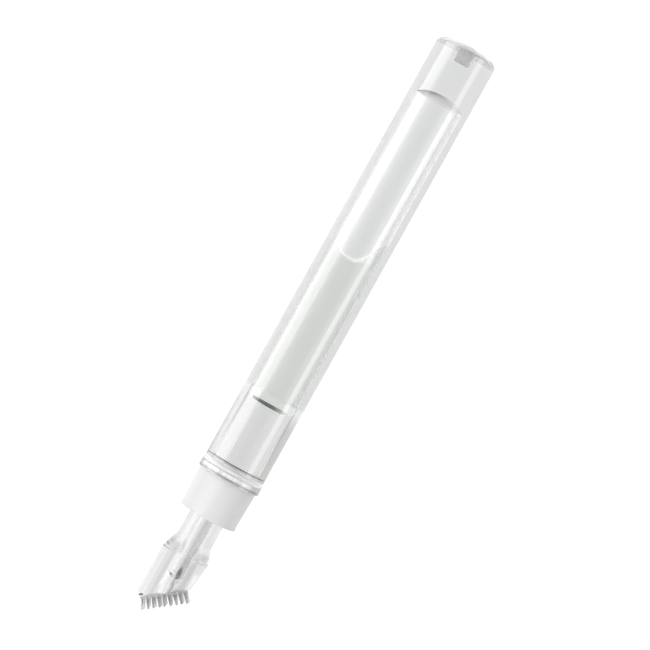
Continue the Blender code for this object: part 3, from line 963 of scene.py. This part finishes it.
disc_outline = [(DISC_START + DISC_DIP, 0), (DISC_START + DISC_DIP, DISC_DIP_R)]
disc_outline += [(DISC_START, DISC_CURL_R), (DISC_START, DISC_R - EDGE)]
disc_outline += [(DISC_START + EDGE, DISC_R), (DISC_END - DISC_BEVEL, DISC_R)]
disc_outline += [(DISC_END - DISC_DIP, DISC_BEVEL_R), (DISC_END, DISC_SEAT_R), (DISC_END, 0)]
disc = turned("rubber_valve_disc", disc_outline, sides=FINE, finishes=(disc_rubber,))
fit(disc, "head_body", "valve_disc")

STEM_R = 1.0
STEM_BORE_R = 0.5
STEM_START = 74.2
STEM_PLAIN = STEM_START + 2  # past the notch the tube is plain
STEM_EASE = 0.1
NOTCH_DEPTH = 0.8
NOTCH_HALF_WIDTH = 0.25


def stem_ring(along, radius, notched=False):
    """A ring of the stem. On the notched end, points inside the notch are set back."""
    ring = ring_at(along, radius, FINE)
    for point in ring:
        if notched and abs(point.z - AXIS_HEIGHT) < NOTCH_HALF_WIDTH * MM:
            point.x += NOTCH_DEPTH * MM
    return ring


stem_rings = [stem_ring(STEM_START, STEM_BORE_R, True), stem_ring(STEM_START, STEM_R, True)]
stem_rings += [stem_ring(STEM_PLAIN, STEM_R), stem_ring(STEM_END - STEM_EASE, STEM_R)]
stem_rings += [stem_ring(STEM_END, STEM_R - STEM_EASE), stem_ring(STEM_END, STEM_BORE_R)]
stem_rings += [stem_ring(STEM_PLAIN, STEM_BORE_R)]
stem = skin("feed_tube", stem_rings, hollow=True, finishes=(plug_soaked,))
fit(stem, "head_body", "feed_stem")

RING_CENTRE = 92.2
RING_R = 1.6
CORD_R = 0.36
CORD_SIDES = 20
cord_outline = []
for i in range(CORD_SIDES):
    turn = 2 * math.pi * i / CORD_SIDES
    cord_outline.append((RING_CENTRE + CORD_R * math.cos(turn), RING_R + CORD_R * math.sin(turn)))
o_ring = turned("stem_seal", cord_outline, hollow=True, sides=FINE, finishes=(rubber,))
fit(o_ring, "nozzle_body", "stem_o_ring")

# %% [markdown]
# ## The return spring
# A spring is one wire swept along a helix. A real one has a closed, ground turn at each end, so that
# it stands square: here the pitch falls to nothing at both ends.

# %% Wind the spring
COIL_R = 3.25
WIRE_R = 0.2
COIL_START = 91.45
COIL_END = 94.65
COIL_TURNS = 4
STEPS_PER_TURN = 48
WIRE_SIDES = 12


def coil_share(turns):
    """How far along the coil the wire is, with flat turns at both ends."""
    share = turns / COIL_TURNS
    return share * share * (3 - 2 * share)


def wire_ring(step):
    """A circle of the wire's skin about one point of the helix."""
    turns = step / STEPS_PER_TURN
    turn = 2 * math.pi * turns
    along = COIL_START + WIRE_R + (COIL_END - COIL_START - 2 * WIRE_R) * coil_share(turns)
    out = Vector((0, math.sin(turn), math.cos(turn)))
    centre = Vector((DATUM + along * MM, 0, AXIS_HEIGHT)) + out * COIL_R * MM
    ring = []
    for i in range(WIRE_SIDES):
        side = 2 * math.pi * i / WIRE_SIDES
        ring.append(centre + (out * math.cos(side) + Vector((1, 0, 0)) * math.sin(side)) * WIRE_R * MM)
    return ring


coil = [wire_ring(step) for step in range(COIL_TURNS * STEPS_PER_TURN + 1)]
ends = [sum(ring, Vector()) / WIRE_SIDES for ring in (coil[0], coil[-1])]
spring = skin("wire_spring", [[ends[0]], *coil, [ends[1]]], finishes=(steel,))
fit(spring, "nozzle_body", "return_spring")
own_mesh(spring)

# %% [markdown]
# ## The collar
# A plain sleeve, slightly tapered, with a small rolled lip at its lower edge and an eased top edge.
# Inside it is bored for the spigot, and its mouth holds the head's shoulder. Its top edge stands a
# little nearer the flange than the frame's, which closes the gap that the frame leaves there.

# %% Turn the collar
COLLAR_LOW_R = 5.5
LIP_R = 5.6
LIP_LENGTH = 0.6
COLLAR_BORE_R = 4.6
MOUTH_R = 3.75
MOUTH_START = 96.2
MOUTH_CHAMFER = 0.15
TOP_RISE = 0.27
LIP_LEAD = 0.1
LIP_FOOT = (0.05, 0.02)  # along the collar and out
LIP_CREST = 0.3
LIP_ROUND = 0.2

lip_start = COLLAR_END - LIP_LENGTH
lip_foot = (lip_start + LIP_FOOT[0], COLLAR_LOW_R + LIP_FOOT[1])
top = COLLAR_START - TOP_RISE
collar_outline = [(top, COLLAR_BORE_R), (top, COLLAR_R - EDGE)]
collar_outline += curve_between((top, COLLAR_R - EDGE), (top + EDGE, COLLAR_R), "out", 4)[1:]
collar_outline += [(lip_start - LIP_LEAD, COLLAR_LOW_R), lip_foot]
collar_outline += curve_between(lip_foot, (lip_start + LIP_CREST, LIP_R), "along", 4)[1:]
collar_outline += curve_between((COLLAR_END - LIP_ROUND, LIP_R), (COLLAR_END, LIP_R - LIP_ROUND), "along", 5)
collar_outline += [(COLLAR_END, MOUTH_R + MOUTH_CHAMFER), (COLLAR_END - MOUTH_CHAMFER, MOUTH_R)]
collar_outline += [(MOUTH_START, MOUTH_R), (MOUTH_START, COLLAR_BORE_R)]
collar = turned("frosted_collar", collar_outline, hollow=True, finishes=(frosted,))
fit(collar, "nozzle_body", "collar")

# %% [markdown]
# ## The brush head
# The head changes shape along its length: a round shoulder and neck, a flare, then a flat paddle
# with a round core, cut off at a slant. Each of those is a ring of points about the axis, given by
# how far the outline reaches at each angle. Where two shapes overlap, such as paddle and core, the
# farther reach wins. The stations also lean over more and more, so the last ring lies in the slant.

# %% Outlines of the head at one station
HEAD_SIDES = 160
NECK_R = 3.43
SHOULDER_R = 4.2
SHOULDER_END = 95.9
FLARE_START = 101.7
FLARE_END = 105.4
FLARE_R = 4.5
FLARE_HALF_THICK = 3.24
CORE_R = 2.75
PADDLE_HALF_THICK = 2.1
PADDLE_LEFT = 4.6
PADDLE_RIGHT = 4.4
PADDLE_RIGHT_LOW = 3.8
CROWDING = 0.22  # how strongly the points crowd towards the wings


def reach_of_box(turn, left, right, half_thick, power):
    """How far a rounded box reaches at an angle from +Z towards +Y."""
    across, up = math.sin(turn), math.cos(turn)
    side = right if across > 0 else left
    return (abs(across / side) ** power + abs(up / half_thick) ** power) ** (-1 / power)


def head_angles():
    """Angles about the axis, closer together at the wings where the outline is far out."""
    angles = []
    for i in range(HEAD_SIDES):
        turn = 2 * math.pi * i / HEAD_SIDES
        angles.append(turn + CROWDING * math.sin(2 * turn))
    return angles


def head_ring(reach, along, lean=0.0, slope=0.0):
    """A ring whose points reach out by reach(turn), at a station that leans by slope times Y."""
    ring = []
    for turn in head_angles():
        r = reach(turn)
        y, z = r * math.sin(turn), r * math.cos(turn)
        x = along + lean * slope * y
        ring.append(Vector((DATUM + x * MM, y * MM, AXIS_HEIGHT + z * MM)))
    return ring


print(f"the head's rings have {HEAD_SIDES} points")

# %% [markdown]
# ## The slanted face
# The brush face is a plane through two corners, the long one and the short one. Its direction, its
# slope and its length follow from those, and both the head's last ring and the pad are laid in it.

# %% Place the slanted face
FACE_LONG = Vector((116.4, -3.3, 0))
FACE_SHORT = Vector((111.1, 3.75, 0))
FACE_ALONG = (FACE_SHORT - FACE_LONG).normalized()
FACE_OUT = FACE_ALONG.cross(Vector((0, 0, 1)))
FACE_SLOPE = FACE_ALONG.x / FACE_ALONG.y
FACE_MIDDLE = (FACE_LONG + FACE_SHORT) / 2
FACE_LENGTH = (FACE_SHORT - FACE_LONG).length
PAD_THICK = 0.7
SLAB_TOP = -0.38  # the nubs grow from here, so that little of the slab shows
face_axis_station = FACE_MIDDLE.x - FACE_SLOPE * FACE_MIDDLE.y
head_end = face_axis_station - PAD_THICK / FACE_OUT.x
print(f"slant {math.degrees(math.atan(-FACE_SLOPE)):.0f} degrees, face {FACE_LENGTH:.1f} mm long")

# %% [markdown]
# ## From neck to paddle
# The flare eases from the round neck to a wide, flatter shape. The paddle is a box with rounded
# edges, and the round core stands out of it. Towards the slant the long wing's corner rounds off and
# the core sinks in. A small step back makes the ledge between the two.

# %% Outlines of the flare and the paddle
FLARE_STRAIGHT = 0.35  # how much of the flare widens in a straight line, and the rest in an S
FLARE_SQUARING = 0.3
WING_ROUND_START = 0.80
WING_INNER = 3.35
CORE_SINK = 0.65
CORE_SINK_START = 0.75
BOX_POWER = 7.0  # a higher power gives a squarer box


def flare_reach(share):
    """Neck to flare: the round neck grows wider across the pen and flatter up and down."""
    ease = share * share * (3 - 2 * share)
    wide = NECK_R + (FLARE_R - NECK_R) * (FLARE_STRAIGHT * share + (1 - FLARE_STRAIGHT) * ease)
    thick = NECK_R + (FLARE_HALF_THICK - NECK_R) * ease
    return lambda turn: reach_of_box(turn, wide, wide, thick, 2.0 + FLARE_SQUARING * ease)


def paddle_reach(share, shrink=0.0):
    """Paddle and core together. The long wing's corner rounds off over the last fifth."""
    corner = max(0, (share - WING_ROUND_START) / (1 - WING_ROUND_START))
    left = WING_INNER + (PADDLE_LEFT - WING_INNER) * math.sqrt(max(0, 1 - corner * corner))
    right = PADDLE_RIGHT + (PADDLE_RIGHT_LOW - PADDLE_RIGHT) * share
    core = CORE_R - shrink - CORE_SINK * max(0, (share - CORE_SINK_START) / (1 - CORE_SINK_START))

    def reach(turn):
        box = reach_of_box(turn, left - shrink, right - shrink, PADDLE_HALF_THICK - shrink, BOX_POWER)
        return max(box, core)

    return reach


def circle(radius):
    """The same reach at every angle."""
    return lambda turn: radius


print(f"the paddle is {PADDLE_LEFT + PADDLE_RIGHT:.1f} mm wide where it starts")

# %% [markdown]
# ## Lofting the head
# Its rings run from the shoulder that the collar holds, down the neck, the flare and the paddle to
# the slanted end, and back through the outlet and the feed channel. The skin between the last and
# the first ring is the channel's wall, so the head is one closed moulding with a real hole in it.

# %% Loft the head
CHANNEL_R = 1.3
CHANNEL_END = 109.2
CHANNEL_TAPER = 0.8
OUTLET_R = 0.45
SHOULDER_EASE = 0.1
NECK_FILLET = 0.15
END_EASE = (0.12, 0.08)  # how far the end's edge draws in, and how far the end stands past it
NECK_STEPS = 6
FLARE_STEPS = 14
PADDLE_STEPS = 30
STEP_BACK = 0.12

shoulder_outline = [(HEAD_START, CHANNEL_R), (HEAD_START, SHOULDER_R - SHOULDER_EASE)]
shoulder_outline += [(HEAD_START + SHOULDER_EASE, SHOULDER_R), (SHOULDER_END - SHOULDER_EASE, SHOULDER_R)]
shoulder_outline += [(SHOULDER_END, SHOULDER_R - SHOULDER_EASE), (SHOULDER_END, NECK_R + NECK_FILLET)]
shoulder_outline += [(SHOULDER_END + NECK_FILLET, NECK_R)]
head_rings = [head_ring(circle(radius), along) for along, radius in shoulder_outline]
for i in range(1, NECK_STEPS):
    along = SHOULDER_END + (FLARE_START - SHOULDER_END) * i / NECK_STEPS
    head_rings.append(head_ring(circle(NECK_R), along))
for i in range(FLARE_STEPS + 1):
    share = i / FLARE_STEPS
    head_rings.append(head_ring(flare_reach(share), FLARE_START + (FLARE_END - FLARE_START) * share))
ledge_band = len(head_rings) - 1
for i in range(PADDLE_STEPS + 1):
    share = i / PADDLE_STEPS
    along = FLARE_END + STEP_BACK + (head_end - FLARE_END - STEP_BACK) * share
    head_rings.append(head_ring(paddle_reach(share), along, share, FACE_SLOPE))
for reach in (paddle_reach(1.0, END_EASE[0]), circle(OUTLET_R)):
    head_rings.append(head_ring(reach, head_end + END_EASE[1], 1.0, FACE_SLOPE))
outer_bands = len(head_rings) - 1
head_rings.append(head_ring(circle(OUTLET_R), CHANNEL_END + CHANNEL_TAPER))
head_rings.append(head_ring(circle(CHANNEL_R), CHANNEL_END))


def head_finish(band):
    """0 polished outside, 1 the softer wall of the feed channel, 2 the ledge."""
    if band == ledge_band:
        return 2
    return 1 if band >= outer_bands else 0


head = skin("lofted_head", head_rings, True, (head_clear, channel_skin, ledge_skin), head_finish)
fit(head, "head_body", "brush_head")
print(f"head: {len(head.data.polygons)} faces")

# %% [markdown]
# ## The nub pad
# The pad and its nubs are one silicone moulding. A real nub is a small tapered pin with a rounded
# tip and a soft root. Here each cell of a grid is skinned from its square edge to a circle, and up
# the pin. Neighbours share their edges, so the whole pad is one skin. Each nub leans out a little,
# and by its own small amount, because soft nubs never stand quite straight. The lean is measured
# from the pad's face, so some roots sit off the middle of their cell and slightly cross its border.

# %% Lay out the pad's cells
NUB_COLUMNS = 9
NUB_ROWS = 5
PAD_WIDTH = 4.2
SIDE_POINTS = 4
CORNER_PULL = 0.07
CORNER_POWER = 6
CELL_LONG = FACE_LENGTH / NUB_COLUMNS
CELL_WIDE = PAD_WIDTH / NUB_ROWS


def pad_point(u, v, height):
    """A point of the pad: u along the slant, v across the pen, height out of the face, in mm."""
    spot = FACE_MIDDLE + FACE_ALONG * u + FACE_OUT * height
    return Vector((DATUM + spot.x * MM, spot.y * MM, AXIS_HEIGHT + v * MM))


def soften(u, v):
    """Pull the pad's corners in, as a moulding's corners are."""
    far_u, far_v = abs(u) / (FACE_LENGTH / 2), abs(v) / (PAD_WIDTH / 2)
    pull = CORNER_PULL * (far_u * far_v)**CORNER_POWER
    return u * (1 - pull), v * (1 - 2 * pull)


def square_edge(cu, cv):
    """Points round one cell's edge, four to a side."""
    corners = [(-1, -1), (1, -1), (1, 1), (-1, 1)]
    points = []
    for k in range(4):
        (u0, v0), (u1, v1) = corners[k], corners[(k + 1) % 4]
        for i in range(SIDE_POINTS):
            t = i / SIDE_POINTS
            u = cu + (u0 + (u1 - u0) * t) * CELL_LONG / 2
            v = cv + (v0 + (v1 - v0) * t) * CELL_WIDE / 2
            points.append(soften(u, v))
    return points


print(f"pad cells are {CELL_LONG:.2f} mm by {CELL_WIDE:.2f} mm")

# %% [markdown]
# ## One nub
# A nub is a stack of circles: a soft root, a straight taper and a rounded tip. The draws that set how
# far it leans and how long it is come in the order in which the cells are grown. The middle cell has
# the outlet hole in place of a nub, and the same skinning makes both.

# %% Grow a nub, or the outlet hole
NUB_LENGTH = 1.8
NUB_ROOT_R = 0.34
NUB_TIP_R = 0.23
ROOT_FILLET_R = 0.05
ROOT_RISE = 0.07
TIP_RISE = 0.18
TAPER_STEPS = 5
TIP_STEPS = 4
SPLAY = 0.22
LEAN_DRAW = 0.09
LENGTH_DRAW = 0.06
HOLE_PROFILE = [(0.30, SLAB_TOP), (0.24, SLAB_TOP - 0.1), (0.22, -PAD_THICK)]  # (radius, height)
lean_draws = random.Random(11)


def nub_profile():
    """(radius, height) up a nub: soft root, taper, rounded tip."""
    root, tip = SLAB_TOP + ROOT_RISE, NUB_LENGTH - TIP_RISE
    profile = [(NUB_ROOT_R + ROOT_FILLET_R, SLAB_TOP), (NUB_ROOT_R, root)]
    for i in range(1, TAPER_STEPS + 1):
        share = i / TAPER_STEPS
        profile.append((NUB_ROOT_R + (NUB_TIP_R - NUB_ROOT_R) * share, root + (tip - root) * share))
    for i in range(1, TIP_STEPS):
        turn = math.pi / 2 * i / TIP_STEPS
        profile.append((NUB_TIP_R * math.cos(turn), tip + TIP_RISE * math.sin(turn)))
    return profile


def grow_nub(bm, cu, cv, hole):
    """Skin one cell of the pad. The middle cell has the outlet hole in place of a nub."""
    edge = square_edge(cu, cv)
    rows = [[bm.verts.new(pad_point(u, v, SLAB_TOP)) for u, v in edge]]
    count = len(edge)
    lean_u = SPLAY * cu / FACE_LENGTH + lean_draws.uniform(-LEAN_DRAW, LEAN_DRAW)
    lean_v = SPLAY * cv / PAD_WIDTH + lean_draws.uniform(-LEAN_DRAW, LEAN_DRAW)
    reach = 1 + lean_draws.uniform(-LENGTH_DRAW, 0.0)
    profile = HOLE_PROFILE if hole else nub_profile()
    for radius, height in profile:
        row = []
        for k in range(count):
            turn = 2 * math.pi * (k - SIDE_POINTS / 2) / count - math.pi / 2
            rise = height if hole else height * reach
            u = cu + radius * math.cos(turn) + (0 if hole else lean_u * rise)
            v = cv + radius * math.sin(turn) + (0 if hole else lean_v * rise)
            row.append(bm.verts.new(pad_point(u, v, rise)))
        rows.append(row)
    for a, b in zip(rows, rows[1:]):
        for k in range(count):
            j = (k + 1) % count
            bm.faces.new((a[k], a[j], b[j], b[k]))
    if not hole:
        bm.faces.new(rows[-1])


print(f"a nub is {NUB_LENGTH} mm long and {2 * NUB_TIP_R:.2f} mm across near its tip")

# %% [markdown]
# ## The whole pad
# All the cells are grown first and welded along the edges they share. The slab's sides are then drawn
# down from the outer rim, and its underside is bridged to the foot of the outlet hole.

# %% Mould the pad
WELD = 0.01
HOLE_REACH = 1.2  # rim edges nearer the pad's middle than this belong to the outlet hole

bm = bmesh.new()
for column in range(NUB_COLUMNS):
    for row in range(NUB_ROWS):
        middle_u = (column - (NUB_COLUMNS - 1) / 2) * CELL_LONG
        middle_v = (row - (NUB_ROWS - 1) / 2) * CELL_WIDE
        is_hole = column == NUB_COLUMNS // 2 and row == NUB_ROWS // 2
        grow_nub(bm, middle_u, middle_v, is_hole)
bmesh.ops.remove_doubles(bm, verts=bm.verts, dist=WELD * MM)
rim_edges = [edge for edge in bm.edges if edge.is_boundary]
hole_centre = pad_point(0, 0, -PAD_THICK)
outer_rim = [e for e in rim_edges if (e.verts[0].co - hole_centre).length > HOLE_REACH * MM]
walls = bmesh.ops.extrude_edge_only(bm, edges=outer_rim)
low = [part for part in walls["geom"] if isinstance(part, bmesh.types.BMVert)]
shift = hole_centre - pad_point(0, 0, SLAB_TOP)
bmesh.ops.translate(bm, vec=shift, verts=low)
bottom = [edge for edge in bm.edges if edge.is_boundary]
bmesh.ops.bridge_loops(bm, edges=bottom)
bmesh.ops.recalc_face_normals(bm, faces=bm.faces)
pad = shown("moulded_nub_pad", bm, (nub_silicone,))
fit(pad, "head_body", "nub_pad")
print(f"pad: {NUB_COLUMNS * NUB_ROWS - 1} nubs, {len(pad.data.polygons)} faces")

# %% [markdown]
# ## The floor
# The pen is clear, so its look is made by what it mirrors and bends. A pale floor that glows a
# little, like the opal sheet of a light table, keeps the shadow faint.

# %% Lay the floor
FLOOR_HALF = 3.0
OPAL_GLOW = 0.8
OPAL_PALE = 0.32
OPAL_CLOUDS = 40.0
bm = bmesh.new()
bmesh.ops.create_grid(bm, x_segments=8, y_segments=8, size=FLOOR_HALF)
opal = Finish("opal_floor", Roughness=0.9, Specular_IOR_Level=0.0, Emission_Strength=OPAL_GLOW)
opal.wear("Base Color", opal.blend(opal.cloud(OPAL_CLOUDS), grey(OPAL_PALE), grey(OPAL_PALE + 0.02)))
opal.wear("Emission Color", opal.blend(opal.cloud(OPAL_CLOUDS), grey(0.98), grey(1)))
floor = shown("opal_sheet", bm, (opal.material,))
print(f"floor: {2 * FLOOR_HALF:.0f} m across")

# %% [markdown]
# ## The light
# The room is soft: dim overhead, with a broad bright side on the left and a narrower one on the
# right. Those two make the long highlights down the barrel. They are bands of one sky, mixed with
# the same nodes as a finish, so each is a place where the light comes up and how strong it gets.

# %% Light the room
class Room(Finish):
    """The light all round, mixed with the same nodes as a finish."""

    def __init__(self, name):
        world = bpy.data.worlds.new(name)
        world.use_nodes = True
        bpy.context.scene.world = world
        self.tree = world.node_tree
        self.shader = self.tree.nodes["Background"]
        self.shader.inputs["Color"].default_value = (1, 1, 1, 1)


glow = Room("soft_room")
direction = glow.node("ShaderNodeTexCoord", output="Generated")
across = glow.node("ShaderNodeSeparateXYZ", None, {0: direction}, output="Y")
up = glow.node("ShaderNodeSeparateXYZ", None, {0: direction}, output="Z")
OVERHEAD = 0.5
LEFT_LIGHT = 4.5
LEFT_FADE = (0.60, 0.85)  # shares of the way from overhead to the side
RIGHT_LIGHT = 3.5
RIGHT_FADE_IN = (0.70, 0.80)
RIGHT_FADE_OUT = (0.90, 0.96)
HORIZON_LIGHT = 0.5
HORIZON_FADE = (0.08, 0.35)
left = glow.pick(0 - across, *LEFT_FADE) * LEFT_LIGHT
right = (glow.pick(across, *RIGHT_FADE_IN) - glow.pick(across, *RIGHT_FADE_OUT)) * RIGHT_LIGHT
horizon = (1 - glow.pick(up, *HORIZON_FADE)) * HORIZON_LIGHT
glow.wear("Strength", left + right + horizon + OVERHEAD)
bpy.context.scene.view_settings.view_transform = "Standard"
print("room: dim overhead, bright left, narrower right")

# %% [markdown]
# ## The camera
# It looks straight down on the pen from an arm's length and is turned about its own axis, so the pen
# lies slanting across the view. The lens follows from the height and the width that is to be seen.

# %% Set the camera
EYE_HEIGHT = 0.380
VIEW_WIDTH = 0.119  # metres across the picture at the pen's axis
LOOK_STATION = 56.10
LOOK_ASIDE = 1.64
ROLL = math.radians(119.2)
lens = bpy.data.cameras.new("straight_down")
lens.sensor_width = 36.0
lens.lens = lens.sensor_width * EYE_HEIGHT / VIEW_WIDTH
camera = bpy.data.objects.new("straight_down", lens)
bpy.context.scene.collection.objects.link(camera)
camera.location = (DATUM + LOOK_STATION * MM, LOOK_ASIDE * MM, AXIS_HEIGHT + EYE_HEIGHT)
camera.rotation_euler = (0, 0, ROLL)
bpy.context.scene.camera = camera
print(f"camera {EYE_HEIGHT:.2f} m up, lens {lens.lens:.0f} mm")
